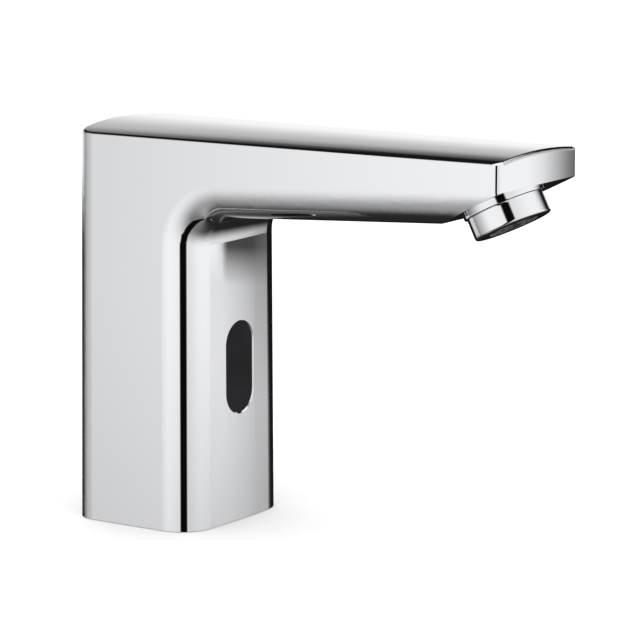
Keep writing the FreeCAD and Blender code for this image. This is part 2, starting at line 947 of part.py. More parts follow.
guide_low = cartridge_high - guide_height
poppet_low = cartridge_low + cartridge_floor + seat_gap
poppet_top = poppet_low + poppet_height


def check_valve_guide():
    radius = inlet_fitting_radius - cartridge_wall - seat_gap
    guide = rod(radius, guide_low, cartridge_high, 0, inlet_y)
    holes = [rod(stem_radius + running, guide_low - 1, cartridge_high + 1, 0, inlet_y)]
    reach = (radius + stem_radius) / 2
    low = guide_low - 1
    high = cartridge_high + 1
    holes += round_holes(guide_hole_count, reach, guide_hole_radius, low, high, 0, inlet_y)
    return guide.cut(holes)


def check_valve_poppet():
    disc = rod(poppet_radius, poppet_low, poppet_top, 0, inlet_y)
    return disc.fuse(rod(stem_radius, poppet_top, cartridge_high, 0, inlet_y)).removeSplitter()


def check_valve_spring():
    mean = poppet_radius - 5 * spring_wire
    return coil_spring(mean, poppet_top + seat_gap, guide_low - seat_gap, 0, inlet_y)


def check_valve_o_ring():
    return ring(ring_seat + inlet_ring_wire, inlet_ring_wire, 0, inlet_y, cartridge_ring_height)


# ---- Valve block ----
block_low = plate_height
block_top = block_low + block_height
seat_top = block_top - seat_drop
cross_height = block_top - cross_drop
tube_foot = block_top - tube_socket_depth
tube_ring_height = block_top - tube_socket_depth / 2
standoff_places = [(-20.3, 9.0), (-17.5, 19.0), (6.0, 19.0)]
bonnet_screw_reach = bonnet_width / 2 - bonnet_screw_inset
bonnet_screw_places = [
    (valve_x + sx * bonnet_screw_reach, valve_y + sy * bonnet_screw_reach)
    for sx in (-1, 1)
    for sy in (-1, 1)
]


def valve_block():
    half = plate_half_width - block_inset
    front = -plate_back + block_front_inset
    back = plate_back - block_back_inset
    block = rounded_brick(-half, half, front, back, block_low, block_top, block_corner)
    block = block.makeChamfer(block_bevel, level_edges(block, block_top))
    annulus = pipe(
        annulus_radius, seat_radius, block_top - annulus_depth, block_top + 1, valve_x, valve_y
    )
    lip = rod(seat_radius + slip, seat_top, block_top + 1, valve_x, valve_y)
    down = rod(seat_bore_radius, cross_height, block_top, valve_x, valve_y)
    across = Part.makeCylinder(
        cross_radius, spout_tube_x - valve_x, vec(valve_x, valve_y, cross_height), vec(1, 0, 0)
    )
    up = rod(spout_tube_bore, cross_height, block_top, spout_tube_x, valve_y)
    socket = rod(tube_socket_radius, tube_foot, block_top + 1, spout_tube_x, valve_y)
    groove = rod(
        spout_tube_radius + 2 * o_ring_wire + seat_gap,
        tube_ring_height - o_ring_groove / 2,
        tube_ring_height + o_ring_groove / 2,
        spout_tube_x,
        valve_y,
    )
    inlet = rod(inlet_bore_radius, block_low - 1, inlet_bore_top, 0, inlet_y)
    feed = rod(feed_radius, inlet_bore_top - 1, block_top - annulus_depth + 1, 0, inlet_y)
    block = block.cut([annulus, lip, down, across, up, socket, groove, inlet, feed])
    holes = []
    for x, y in block_screw_places:
        holes.append(rod(m4_radius + seat_gap, block_low - 1, block_low + block_screw_bite + slip, x, y))
    for x, y in bonnet_screw_places:
        holes.append(rod(m3_radius + seat_gap, block_top - bonnet_screw_bite - slip, block_top + 1, x, y))
    for x, y in standoff_places:
        holes.append(rod(m3_radius + seat_gap, block_top - standoff_stud - slip, block_top + 1, x, y))
    return block.cut(holes)


# ---- Diaphragm and bonnet ----
rubber_low = seat_top + seat_gap
rubber_top = rubber_low + diaphragm_skin
flange_low = rubber_top + seat_gap
flange_top = flange_low + insert_flange_height
pilot_top = flange_top + pilot_boss_height
bonnet_top = block_top + bonnet_height
chamber_top = block_top + bonnet_chamber_height


def diaphragm():
    hole = insert_stem_radius + seat_gap
    rim_low = block_top
    rim_top = block_top + diaphragm_rim_height
    web = bonnet_chamber_radius
    outline = [
        (hole, rubber_low),
        (insert_flange_radius, rubber_low),
        (web, rim_low),
        (diaphragm_radius, rim_low),
        (diaphragm_radius, rim_top),
        (web, rim_top),
        (insert_flange_radius, rubber_top),
        (hole, rubber_top),
    ]
    reach = (insert_flange_radius + bonnet_chamber_radius) / 2
    bleed = rod(bleed_radius, rubber_low - 1, rim_top + 1, valve_x, valve_y - reach)
    return turned(outline, valve_x, valve_y).cut(bleed)


def diaphragm_insert():
    foot_top = rubber_low - seat_gap
    foot = rod(insert_foot_radius, foot_top - insert_foot_height, foot_top, valve_x, valve_y)
    stem = rod(insert_stem_radius, foot_top, flange_low, valve_x, valve_y)
    flange = rod(insert_flange_radius, flange_low, flange_top, valve_x, valve_y)
    boss = rod(pilot_boss_radius, flange_top, pilot_top, valve_x, valve_y)
    insert = foot.fuse([stem, flange, boss]).removeSplitter()
    foot_low = foot_top - insert_foot_height
    return insert.cut(rod(pilot_radius, foot_low - 1, pilot_top + 1, valve_x, valve_y))


def diaphragm_spring():
    mean = insert_flange_radius - 3 * spring_wire
    return coil_spring(mean, flange_top + seat_gap, chamber_top - seat_gap, valve_x, valve_y)


tube_inner = plunger_radius + running
tube_outer = tube_inner + tube_wall
tube_low = bonnet_top - tube_flange_height
nose_low = pilot_top + drop_in
plunger_low = nose_low + plunger_nose_length
plunger_top = plunger_low + plunger_length
core_low = plunger_top + plunger_travel + 2 * slip
core_top = core_low + core_height


def valve_bonnet():
    half = bonnet_width / 2
    bonnet = rounded_brick(
        valve_x - half,
        valve_x + half,
        valve_y - half,
        valve_y + half,
        block_top,
        bonnet_top,
        bonnet_corner,
    )
    bonnet = bonnet.makeChamfer(bonnet_bevel, level_edges(bonnet, bonnet_top))
    rim_top = block_top + diaphragm_rim_height
    rim = rod(diaphragm_radius + slip / 2, block_top - 1, rim_top, valve_x, valve_y)
    chamber = rod(bonnet_chamber_radius, block_top, chamber_top, valve_x, valve_y)
    passage = rod(plunger_radius + running, chamber_top - 1, bonnet_top, valve_x, valve_y)
    seat_ring = rod(tube_flange_radius + slip, tube_low, bonnet_top + 1, valve_x, valve_y)
    holes = [rim, chamber, passage, seat_ring]
    for x, y in bonnet_screw_places:
        holes.append(rod(m3_radius + slip, block_top - 1, bonnet_top + 1, x, y))
        holes.append(rod(m3_head_radius + slip, bonnet_top - m3_head_height, bonnet_top + 1, x, y))
    return bonnet.cut(holes)


def bonnet_screws():
    screws = []
    for x, y in bonnet_screw_places:
        shank = bonnet_height - m3_head_height + bonnet_screw_bite
        screw = socket_screw(m3_radius, shank, m3_head_radius, m3_head_height)
        screw.rotate(vec(0, 0, 0), vec(1, 0, 0), 180)
        screw.translate(vec(x, y, bonnet_top))
        screws.append(screw)
    return together(screws)


# ---- Solenoid ----
yoke_low = bonnet_top
bobbin_low = yoke_low + yoke_thickness + slip
bobbin_top = bobbin_low + coil_height
yoke_top = bobbin_top + slip + yoke_thickness
magnet_low = yoke_top + slip
magnet_top = magnet_low + magnet_height
nut_low = magnet_top + slip
nut_top = nut_low + nut_height
bobbin_inner = tube_outer + slip


def armature_tube():
    body = rod(tube_outer, tube_low, nut_top, valve_x, valve_y)
    body = body.fuse(rod(tube_flange_radius, tube_low, bonnet_top - seat_gap, valve_x, valve_y))
    return body.cut(rod(tube_inner, tube_low - 1, core_top + seat_gap, valve_x, valve_y))


def fixed_core():
    return rod(plunger_radius, core_low, core_top, valve_x, valve_y)


def plunger():
    nose = rod(plunger_nose_radius, nose_low, plunger_low, valve_x, valve_y)
    body = rod(plunger_radius, plunger_low, plunger_top, valve_x, valve_y)
    pocket = rod(plunger_seal_radius, nose_low - 1, pilot_top + plunger_seal_height, valve_x, valve_y)
    bore = rod(plunger_bore_radius, plunger_top - plunger_bore_depth, plunger_top + 1, valve_x, valve_y)
    return nose.fuse(body).removeSplitter().cut([pocket, bore])


def plunger_seal():
    low = pilot_top + seat_gap
    high = pilot_top + plunger_seal_height
    return rod(plunger_seal_radius, low, high, valve_x, valve_y)


def plunger_spring():
    mean = plunger_bore_radius - 2 * spring_wire
    low = plunger_top - plunger_bore_depth + seat_gap
    return coil_spring(mean, low, core_low - seat_gap, valve_x, valve_y)


def coil_bobbin():
    barrel = rod(bobbin_inner + bobbin_wall, bobbin_low, bobbin_top, valve_x, valve_y)
    low_flange = rod(coil_radius, bobbin_low, bobbin_low + bobbin_flange, valve_x, valve_y)
    top_flange = rod(coil_radius, bobbin_top - bobbin_flange, bobbin_top, valve_x, valve_y)
    bobbin = barrel.fuse([low_flange, top_flange]).removeSplitter()
    return bobbin.cut(rod(bobbin_inner, bobbin_low - 1, bobbin_top + 1, valve_x, valve_y))


def coil_winding():
    inner = bobbin_inner + bobbin_wall + seat_gap
    low = bobbin_low + bobbin_flange + seat_gap
    high = bobbin_top - bobbin_flange - seat_gap
    return pipe(coil_radius - winding_inset, inner, low, high, valve_x, valve_y)


def coil_yoke():
    inside = coil_radius + 2 * slip
    outside = inside + yoke_thickness
    half = yoke_width / 2
    frame = brick(
        valve_x - outside, valve_x + outside, valve_y - half, valve_y + half, yoke_low, yoke_top
    )
    gap = brick(
        valve_x - inside,
        valve_x + inside,
        valve_y - half - 1,
        valve_y + half + 1,
        yoke_low + yoke_thickness,
        yoke_top - yoke_thickness,
    )
    hole = rod(bobbin_inner, yoke_low - 1, yoke_top + 1, valve_x, valve_y)
    return frame.cut([gap, hole])


def latch_magnet():
    return pipe(magnet_radius, bobbin_inner, magnet_low, magnet_top, valve_x, valve_y)


def coil_nut():
    nut = hexagon(nut_across, nut_low, nut_top, valve_x, valve_y)
    return nut.cut(rod(tube_outer + seat_gap, nut_low - 1, nut_top + 1, valve_x, valve_y))


# ---- Spout tube ----
def tube_route():
    """Centre line: up beside the valve, over into the spout, across to its middle, to the port."""
    side = spout_tube_x
    level = tube_level
    end_y = port_face_y - port_socket_depth + slip
    points = [
        vec(side, valve_y, tube_foot + slip),
        vec(side, valve_y, level),
        vec(side, valve_y - spout_tube_bend - sway_lead_in, level),
        vec(0, port_face_y + sway_lead_out, level),
        vec(0, end_y, level),
    ]
    radii = [spout_tube_bend, sway_radius, sway_radius]
    edges = []
    start = points[0]
    for k, radius in enumerate(radii):
        first, middle, last = corner_arc(points[k], points[k + 1], points[k + 2], radius)
        edges.append(line(start, first))
        edges.append(arc(first, middle, last))
        start = last
    edges.append(line(start, points[-1]))
    return Part.Wire(edges)


def swept(route, radius):
    start = route.Edges[0].valueAt(route.Edges[0].FirstParameter)
    section = Part.Wire([Part.Circle(start, vec(0, 0, 1), radius).toShape()])
    return route.makePipeShell([section], True, False)


def spout_tube():
    route = tube_route()
    return swept(route, spout_tube_radius).cut(swept(route, spout_tube_bore))


def tube_o_rings():
    major = spout_tube_radius + o_ring_wire
    low = ring(major, o_ring_wire, spout_tube_x, valve_y, tube_ring_height)
    far = ring(major, o_ring_wire, 0, port_ring_y, tube_level, (0, 1, 0))
    return together([low, far])


# ---- Battery ----
battery_y = back_inside - battery_setback - battery_depth / 2
holder_low = block_top + standoff_height
battery_low = holder_low + holder_floor + slip
battery_top = battery_low + battery_height
cap_low = battery_top + 2 * seat_gap
cap_top = cap_low + cap_height


def battery_slab(margin, low, high):
    """Slab of the battery's outline, widened by a margin."""
    half = battery_width / 2 + margin
    deep = battery_depth / 2 + margin
    return rounded_brick(
        battery_x - half,
        battery_x + half,
        battery_y - deep,
        battery_y + deep,
        low,
        high,
        battery_corner + margin,
    )


def battery_standoffs():
    posts = []
    for x, y in standoff_places:
        post = hexagon(standoff_across, block_top, holder_low, x, y)
        post = post.fuse(rod(m3_radius, block_top - standoff_stud, block_top, x, y))
        bite = holder_low - bonnet_screw_bite - slip
        posts.append(post.cut(rod(m3_radius + seat_gap, bite, holder_low + 1, x, y)))
    return together(posts)


def battery_holder():
    margin = slip + holder_wall
    cup = battery_slab(margin, holder_low, cap_top)
    cup = cup.cut(battery_slab(slip, holder_low + holder_floor, cap_top + 1))
    holes = []
    for x, y in standoff_places:
        holes.append(rod(m3_radius + slip, holder_low - 1, cap_top, x, y))
        top = holder_low + holder_floor
        holes.append(rod(m3_head_radius + slip, top - m3_head_height - slip, top + 1, x, y))
    return cup.cut(holes)


def battery_screws():
    screws = []
    for x, y in standoff_places:
        head_top = holder_low + holder_floor - slip
        shank = holder_floor - m3_head_height - slip + bonnet_screw_bite
        screw = socket_screw(m3_radius, shank, m3_head_radius, m3_head_height)
        screw.rotate(vec(0, 0, 0), vec(1, 0, 0), 180)
        screw.translate(vec(x, y, head_top))
        screws.append(screw)
    return together(screws)


def battery():
    return battery_slab(0, battery_low, battery_top)


def contact_discs(margin):
    """The two contacts, widened by a margin."""
    discs = []
    for side in (-1, 1):
        x = battery_x + side * contact_spacing / 2
        low = cap_low - seat_gap
        discs.append(rod(contact_radius + margin, low, low + contact_height + margin, x, battery_y))
    return discs


def battery_contacts():
    return together(contact_discs(0))


def battery_cap():
    cap = battery_slab(slip / 2, cap_low, cap_top)
    return cap.cut(contact_discs(seat_gap))


# ---- Leads ----
case_top = window_height + case_half_length
lead_case_y = (ear_front + ear_height + case_back) / 2


def arched_lead(x, y, low, arch):
    """Lead that rises from the sensor case, arches back and comes down at another place."""
    radius = (y - lead_case_y) / 2
    crest = vec(x, lead_case_y + radius, arch + radius)
    lean = radius * math.sqrt(0.5)
    middle_y = lead_case_y + radius
    edges = [
        line(vec(x, lead_case_y, case_top), vec(x, lead_case_y, arch)),
        arc(vec(x, lead_case_y, arch), vec(x, middle_y - lean, arch + lean), crest),
        arc(crest, vec(x, middle_y + lean, arch + lean), vec(x, y, arch)),
        line(vec(x, y, arch), vec(x, y, low)),
    ]
    return swept(Part.Wire(edges), lead_radius)


def coil_lead():
    return arched_lead(coil_lead_x, coil_lead_y, bobbin_top, case_top + coil_lead_rise)


def battery_lead():
    return arched_lead(battery_lead_x, battery_lead_y, cap_top, cap_top + battery_lead_rise)


# ---- Aerator, modelled upright and then moved to its leaning seat ----
ring_top = -collar_height - slip
ring_low = ring_top - aerator_height
lip_top = ring_low + ring_lip_height
insert_low = lip_top + seat_gap
insert_top = spigot_height - mesh_height - 2 * seat_gap
insert_radius = ring_bore_radius - slip
insert_inner = insert_radius - insert_wall


def aerator_housing():
    bevel = aerator_rim_bevel
    spigot = thread_core_radius - running
    outline = [
        (ring_bore_radius - ring_lip, ring_low),
        (aerator_radius - bevel, ring_low),
        (aerator_radius, ring_low + bevel),
        (aerator_radius, ring_top),
        (spigot, ring_top),
        (spigot, spigot_height),
        (ring_bore_radius, spigot_height),
        (ring_bore_radius, lip_top),
        (ring_bore_radius - ring_lip, lip_top),
    ]
    return on_seat(turned(outline))


def aerator_insert():
    body = pipe(insert_radius, insert_inner, insert_low, insert_top)
    floor = rod(insert_inner + slip, insert_low, insert_low + grid_height)
    steps = int(insert_inner / grid_pitch) + 1
    holes = []
    for i in range(-steps, steps + 1):
        for j in range(-steps, steps + 1):
            x = i * grid_pitch
            y = j * grid_pitch
            if math.hypot(abs(x) + grid_hole / 2, abs(y) + grid_hole / 2) < insert_inner - drop_in:
                half = grid_hole / 2
                low = insert_low - 1
                holes.append(brick(x - half, x + half, y - half, y + half, low, low + grid_height + 2))
    return on_seat(body.fuse(floor.cut(holes)).removeSplitter())


regulator_low = (insert_low + insert_top) / 2


def flow_regulator():
    radius = insert_inner - seat_gap
    plate = rod(radius, regulator_low, regulator_low + regulator_height)
    low = regulator_low - 1
    high = regulator_low + regulator_height + 1
    holes = round_holes(regulator_hole_count, radius * 0.7, regulator_hole_radius, low, high)
    return on_seat(plate.cut(holes))


def aerator_mesh():
    low = insert_top + seat_gap
    plate = rod(insert_radius, low, low + mesh_height)
    high = low + mesh_height + 1
    holes = rings_of_holes(mesh_ring_count, mesh_hole_pitch, mesh_hole_radius, low - 1, high)
    return on_seat(plate.cut(holes))


def aerator_washer():
    outer = thread_core_radius - 2 * slip
    low = spigot_height + seat_gap
    return on_seat(pipe(outer, outer - washer_wall, low, low + washer_height))


nodes = [
    tap_body,
    sensor_window,
    window_gasket,
    sensor_case,
    sensor_circuit_board,
    infrared_emitter,
    infrared_receiver,
    light_baffle,
    sensor_screws,
    base_plate,
    base_seal,
    body_locking_screw,
    block_screws,
    inlet_fitting,
    inlet_o_ring,
    inlet_strainer,
    check_valve_housing,
    check_valve_guide,
    check_valve_poppet,
    check_valve_spring,
    check_valve_o_ring,
    valve_block,
    diaphragm,
    diaphragm_insert,
    diaphragm_spring,
    valve_bonnet,
    bonnet_screws,
    armature_tube,
    fixed_core,
    plunger,
    plunger_seal,
    plunger_spring,
    coil_bobbin,
    coil_winding,
    coil_yoke,
    latch_magnet,
    coil_nut,
    spout_tube,
    tube_o_rings,
    battery_standoffs,
    battery_holder,
    battery_screws,
    battery,
    battery_contacts,
    battery_cap,
    coil_lead,
    battery_lead,
    aerator_housing,
    aerator_insert,
    flow_regulator,
    aerator_mesh,
    aerator_washer,
]

for make in nodes:
    shape = make()
    shape.exportStep(os.path.join("parts", make.__name__ + ".step"))
    print(make.__name__, len(shape.Solids), shape.isValid(), round(shape.Volume, 1))
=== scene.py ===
import math

import bpy
import numpy as np
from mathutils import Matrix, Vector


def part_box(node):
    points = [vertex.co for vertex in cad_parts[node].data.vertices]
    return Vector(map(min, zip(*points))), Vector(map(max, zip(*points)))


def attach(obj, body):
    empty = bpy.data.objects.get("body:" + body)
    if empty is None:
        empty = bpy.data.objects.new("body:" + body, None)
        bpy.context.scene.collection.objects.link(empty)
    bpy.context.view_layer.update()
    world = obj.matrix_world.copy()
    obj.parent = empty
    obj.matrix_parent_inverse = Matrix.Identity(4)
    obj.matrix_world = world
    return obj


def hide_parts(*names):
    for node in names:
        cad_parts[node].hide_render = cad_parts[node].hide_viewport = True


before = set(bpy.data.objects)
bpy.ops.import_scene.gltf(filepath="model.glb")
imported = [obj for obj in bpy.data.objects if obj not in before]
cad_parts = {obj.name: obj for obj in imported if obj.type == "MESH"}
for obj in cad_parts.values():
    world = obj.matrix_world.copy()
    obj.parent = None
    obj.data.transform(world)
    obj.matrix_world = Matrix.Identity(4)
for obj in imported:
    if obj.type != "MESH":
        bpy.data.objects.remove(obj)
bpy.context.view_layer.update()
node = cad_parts

# ---- Cast body ----
# One brass casting holds column and spout. It is ground, polished and chrome plated, so its long
# faces keep a very faint waviness, and they mirror the tent that it stands in.
ripple_depth = 0.000012
body_roughness = (0.02, 0.05)


def start_finish(name, colour, metallic, roughness):
    """A material with one shader, whose even values are set on the shader's own sockets."""
    finish = bpy.data.materials.new(name)
    finish.use_nodes = True
    shader = finish.node_tree.nodes["Principled BSDF"]
    shader.inputs["Base Color"].default_value = (*colour, 1.0)
    shader.inputs["Metallic"].default_value = metallic
    shader.inputs["Roughness"].default_value = roughness
    return finish


def place_of(finish, stretch=(1.0, 1.0, 1.0)):
    """Object coordinates, stretched along each axis."""
    nodes = finish.node_tree.nodes
    where = nodes.new("ShaderNodeTexCoord")
    mapping = nodes.new("ShaderNodeMapping")
    mapping.inputs["Scale"].default_value = stretch
    finish.node_tree.links.new(where.outputs["Object"], mapping.inputs["Vector"])
    return mapping.outputs["Vector"]


def cloudy(finish, cells, stretch=(1.0, 1.0, 1.0), detail=3.0):
    """Soft noise with that many cells in a metre."""
    noise = finish.node_tree.nodes.new("ShaderNodeTexNoise")
    noise.inputs["Scale"].default_value = cells
    noise.inputs["Detail"].default_value = detail
    finish.node_tree.links.new(place_of(finish, stretch), noise.inputs["Vector"])
    return noise.outputs["Fac"]


def between(finish, value, low, high):
    """A 0 to 1 value spread between low and high."""
    spread = finish.node_tree.nodes.new("ShaderNodeMapRange")
    spread.inputs["To Min"].default_value = low
    spread.inputs["To Max"].default_value = high
    finish.node_tree.links.new(value, spread.inputs["Value"])
    return spread.outputs["Result"]


def feed(finish, value, socket):
    """Leads a value into one of the shader's sockets."""
    shader = finish.node_tree.nodes["Principled BSDF"]
    finish.node_tree.links.new(value, shader.inputs[socket])


def tinted(finish, value, dark, light):
    """Base colour that runs from dark to light with a 0 to 1 value."""
    ramp = finish.node_tree.nodes.new("ShaderNodeValToRGB")
    ramp.color_ramp.elements[0].color = (*dark, 1.0)
    ramp.color_ramp.elements[1].color = (*light, 1.0)
    ramp.color_ramp.elements[0].position = 0.3
    ramp.color_ramp.elements[1].position = 0.7
    finish.node_tree.links.new(value, ramp.inputs["Fac"])
    feed(finish, ramp.outputs["Color"], "Base Color")


def relief(finish, height, depth):
    """Bump of a 0 to 1 height, depth metres deep, on top of what the shader has already."""
    bump = finish.node_tree.nodes.new("ShaderNodeBump")
    bump.inputs["Distance"].default_value = depth
    shader = finish.node_tree.nodes["Principled BSDF"]
    before = shader.inputs["Normal"].links
    if before:
        finish.node_tree.links.new(before[0].from_socket, bump.inputs["Normal"])
    finish.node_tree.links.new(height, bump.inputs["Height"])
    finish.node_tree.links.new(bump.outputs["Normal"], shader.inputs["Normal"])


def dress(finish, *names):
    """Gives a finish to CAD nodes that stay as they are."""
    for name in names:
        for holder in node[name].material_slots:
            holder.material = finish


polished_chrome = start_finish("polished_chrome", (0.93, 0.935, 0.95), 1.0, 0.03)
feed(polished_chrome, between(polished_chrome, cloudy(polished_chrome, 60.0), *body_roughness), "Roughness")
relief(polished_chrome, cloudy(polished_chrome, 22.0, detail=0.0), ripple_depth)
dress(polished_chrome, "tap_body")

# ---- Sensor window and its gasket ----
# The window is moulded in a plastic that is black to the eye and lets infrared through. It is
# pushed against a matte rubber gasket from inside, a little below the body's skin.
window_black = start_finish("window_black", (0.006, 0.006, 0.007), 0.0, 0.06)
window_black.node_tree.nodes["Principled BSDF"].inputs["Specular IOR Level"].default_value = 0.1
tinted(window_black, cloudy(window_black, 90.0), (0.004, 0.004, 0.005), (0.008, 0.008, 0.010))
feed(window_black, between(window_black, cloudy(window_black, 400.0), 0.05, 0.09), "Roughness")
dress(window_black, "sensor_window")

black_rubber = start_finish("black_rubber", (0.025, 0.025, 0.026), 0.0, 0.62)
tinted(black_rubber, cloudy(black_rubber, 300.0), (0.018, 0.018, 0.019), (0.034, 0.034, 0.035))
feed(black_rubber, between(black_rubber, cloudy(black_rubber, 900.0), 0.5, 0.75), "Roughness")
relief(black_rubber, cloudy(black_rubber, 4000.0), 0.00002)
dress(black_rubber, "window_gasket")

# ---- Sensor case and light baffle ----
# A matte black moulding closes the window's back and keeps stray light out. A rib across its middle
# parts sender from receiver. The moulding has the fine sparkle of an eroded tool.
eroded_black = start_finish("eroded_black", (0.035, 0.035, 0.038), 0.0, 0.55)
tinted(eroded_black, cloudy(eroded_black, 120.0), (0.026, 0.026, 0.028), (0.044, 0.044, 0.048))
feed(eroded_black, between(eroded_black, cloudy(eroded_black, 700.0), 0.42, 0.66), "Roughness")
relief(eroded_black, cloudy(eroded_black, 2600.0, detail=1.0), 0.00003)
dress(eroded_black, "sensor_case", "light_baffle")

# ---- Circuit board with its diodes and small parts ----
# A green lacquered laminate. The clear diode sends infrared and the dark one receives it. Chips and
# resistors are soldered to the board's front.
board_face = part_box("sensor_circuit_board")[0][1]
chip_places = [(-0.0066, 0.0652), (0.0066, 0.0505), (0.0062, 0.0668)]
chip_halves = [(0.0026, 0.0031), (0.0026, 0.0026), (0.0018, 0.0015)]
chip_half_height = 0.0006
chip_standoff = 0.00015
chip_leg_count = 4
chip_leg_share = 0.48
chip_leg_reach = 0.0002
chip_leg_height = 0.0002
chip_leg_half = (0.0004, 0.00025, 0.0002)
resistor_places = [
    (-0.0072, 0.0585), (0.0072, 0.0592), (-0.0068, 0.0492), (-0.0040, 0.0418), (0.0052, 0.0738),
]
resistor_count = 3
resistor_pitch = 0.0021
resistor_height = 0.0003
resistor_half = (0.0008, 0.00027, 0.00042)
solder_reach = 0.00078
solder_height = 0.00028
solder_half = (0.0002, 0.0003, 0.00045)
chip_softness = 0.12
resistor_softness = 0.15
solder_softness = 0.3


def soft_block(centre, half, power, rows=14, columns=32):
    """Block with soft edges: a sphere's cosines and sines raised to a small power, then scaled."""
    u = np.linspace(-np.pi / 2, np.pi / 2, rows + 2)[1:-1, None]
    v = np.arange(columns)[None, :] * 2 * np.pi / columns

    def eased(value):
        return np.sign(value) * np.abs(value) ** power

    x = eased(np.cos(u)) * eased(np.cos(v)) * half[0]
    y = eased(np.cos(u)) * eased(np.sin(v)) * half[1]
    z = eased(np.sin(u)) * np.ones_like(v) * half[2]
    ring = np.stack([x, y, z], axis=-1).reshape(-1, 3)
    ends = np.array([[0.0, 0.0, -half[2]], [0.0, 0.0, half[2]]])
    return np.concatenate([ring, ends]) + np.array(centre), block_faces(rows, columns)


def quads_between(rows, columns):
    """Quads between neighbouring rows of a grid whose last column joins its first."""
    index = np.arange(rows * columns).reshape(rows, columns)
    across = np.roll(index, -1, axis=1)
    return np.stack([index[:-1], across[:-1], across[1:], index[1:]], axis=-1).reshape(-1, 4)


def block_faces(rows, columns):
    """Quads between neighbouring rows, and a fan of triangles to each pole."""
    first = np.arange(columns)
    last = first + (rows - 1) * columns
    pole = np.full(columns, rows * columns)
    bottom = np.stack([np.roll(first, -1), first, pole], axis=-1)
    top = np.stack([last, np.roll(last, -1), pole + 1], axis=-1)
    return quads_between(rows, columns).tolist() + bottom.tolist() + top.tolist()


def build_piece(name, parts, finish, body):
    """One object from several (points, faces) parts, dressed and set to ride on a body."""
    points, faces, offset = [], [], 0
    for part_points, part_faces in parts:
        points.append(part_points)
        faces += [[corner + offset for corner in face] for face in part_faces]
        offset += len(part_points)
    mesh = bpy.data.meshes.new(name)
    mesh.from_pydata(np.concatenate(points).tolist(), [], faces)
    mesh.polygons.foreach_set("use_smooth", np.ones(len(mesh.polygons), dtype=bool))
    mesh.materials.append(finish)
    piece = bpy.data.objects.new(name, mesh)
    bpy.context.scene.collection.objects.link(piece)
    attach(piece, body)
    return piece


board_green = start_finish("board_green", (0.02, 0.14, 0.07), 0.0, 0.28)
tinted(board_green, cloudy(board_green, 900.0, (1.0, 1.0, 0.15)), (0.012, 0.10, 0.05), (0.03, 0.19, 0.09))
feed(board_green, between(board_green, cloudy(board_green, 500.0), 0.22, 0.4), "Roughness")
relief(board_green, cloudy(board_green, 1200.0, (1.0, 1.0, 0.2)), 0.00003)
dress(board_green, "sensor_circuit_board")

diode_clear = start_finish("diode_clear", (0.78, 0.82, 0.9), 0.0, 0.06)
diode_clear.node_tree.nodes["Principled BSDF"].inputs["Transmission Weight"].default_value = 0.6
tinted(diode_clear, cloudy(diode_clear, 500.0), (0.70, 0.75, 0.86), (0.86, 0.88, 0.93))
dress(diode_clear, "infrared_emitter")
diode_dark = start_finish("diode_dark", (0.03, 0.02, 0.035), 0.0, 0.07)
tinted(diode_dark, cloudy(diode_dark, 500.0), (0.02, 0.014, 0.024), (0.045, 0.03, 0.05))
dress(diode_dark, "infrared_receiver")

chip_epoxy = start_finish("chip_epoxy", (0.02, 0.02, 0.021), 0.0, 0.5)
tinted(chip_epoxy, cloudy(chip_epoxy, 1500.0), (0.013, 0.013, 0.014), (0.032, 0.032, 0.034))
relief(chip_epoxy, cloudy(chip_epoxy, 5000.0), 0.000015)
solder_tin = start_finish("solder_tin", (0.75, 0.76, 0.78), 1.0, 0.25)
feed(solder_tin, between(solder_tin, cloudy(solder_tin, 2500.0), 0.15, 0.4), "Roughness")
relief(solder_tin, cloudy(solder_tin, 2500.0), 0.00002)
resistor_white = start_finish("resistor_white", (0.5, 0.47, 0.42), 0.0, 0.5)
tinted(resistor_white, cloudy(resistor_white, 3000.0), (0.42, 0.39, 0.34), (0.6, 0.57, 0.5))

chips, legs, resistors = [], [], []
for (x, z), (wide, tall) in zip(chip_places, chip_halves):
    middle = (x, board_face - chip_half_height - chip_standoff, z)
    chips.append(soft_block(middle, (wide, chip_half_height, tall), chip_softness))
    for k in range(chip_leg_count):
        level = z + (k - (chip_leg_count - 1) / 2) * tall * chip_leg_share
        for side in (-1, 1):
            foot = (x + side * (wide + chip_leg_reach), board_face - chip_leg_height, level)
            legs.append(soft_block(foot, chip_leg_half, solder_softness))
for x, z in resistor_places:
    for k in range(resistor_count):
        level = z + (k - (resistor_count - 1) / 2) * resistor_pitch
        middle = (x, board_face - resistor_height, level)
        resistors.append(soft_block(middle, resistor_half, resistor_softness))
        for side in (-1, 1):
            end = (x + side * solder_reach, board_face - solder_height, level)
            legs.append(soft_block(end, solder_half, solder_softness))
build_piece("board_chips", chips, chip_epoxy, "tap")
build_piece("board_solder", legs, solder_tin, "tap")
build_piece("board_resistors", resistors, resistor_white, "tap")

# ---- Screws and coil nut ----
# Bought stainless fasteners with hex sockets. Their heads and shanks are turned, so they carry fine
# rings round their axis and a slightly uneven sheen.
screw_steel = start_finish("screw_steel", (0.60, 0.61, 0.63), 1.0, 0.3)
tinted(screw_steel, cloudy(screw_steel, 350.0), (0.54, 0.55, 0.57), (0.66, 0.67, 0.69))
screw_rings = cloudy(screw_steel, 900.0, (1.0, 1.0, 6.0))
feed(screw_steel, between(screw_steel, screw_rings, 0.2, 0.42), "Roughness")
relief(screw_steel, cloudy(screw_steel, 1500.0, (0.3, 0.3, 5.0)), 0.00001)
dress(screw_steel, "sensor_screws", "body_locking_screw", "block_screws", "bonnet_screws")
dress(screw_steel, "coil_nut", "battery_screws")

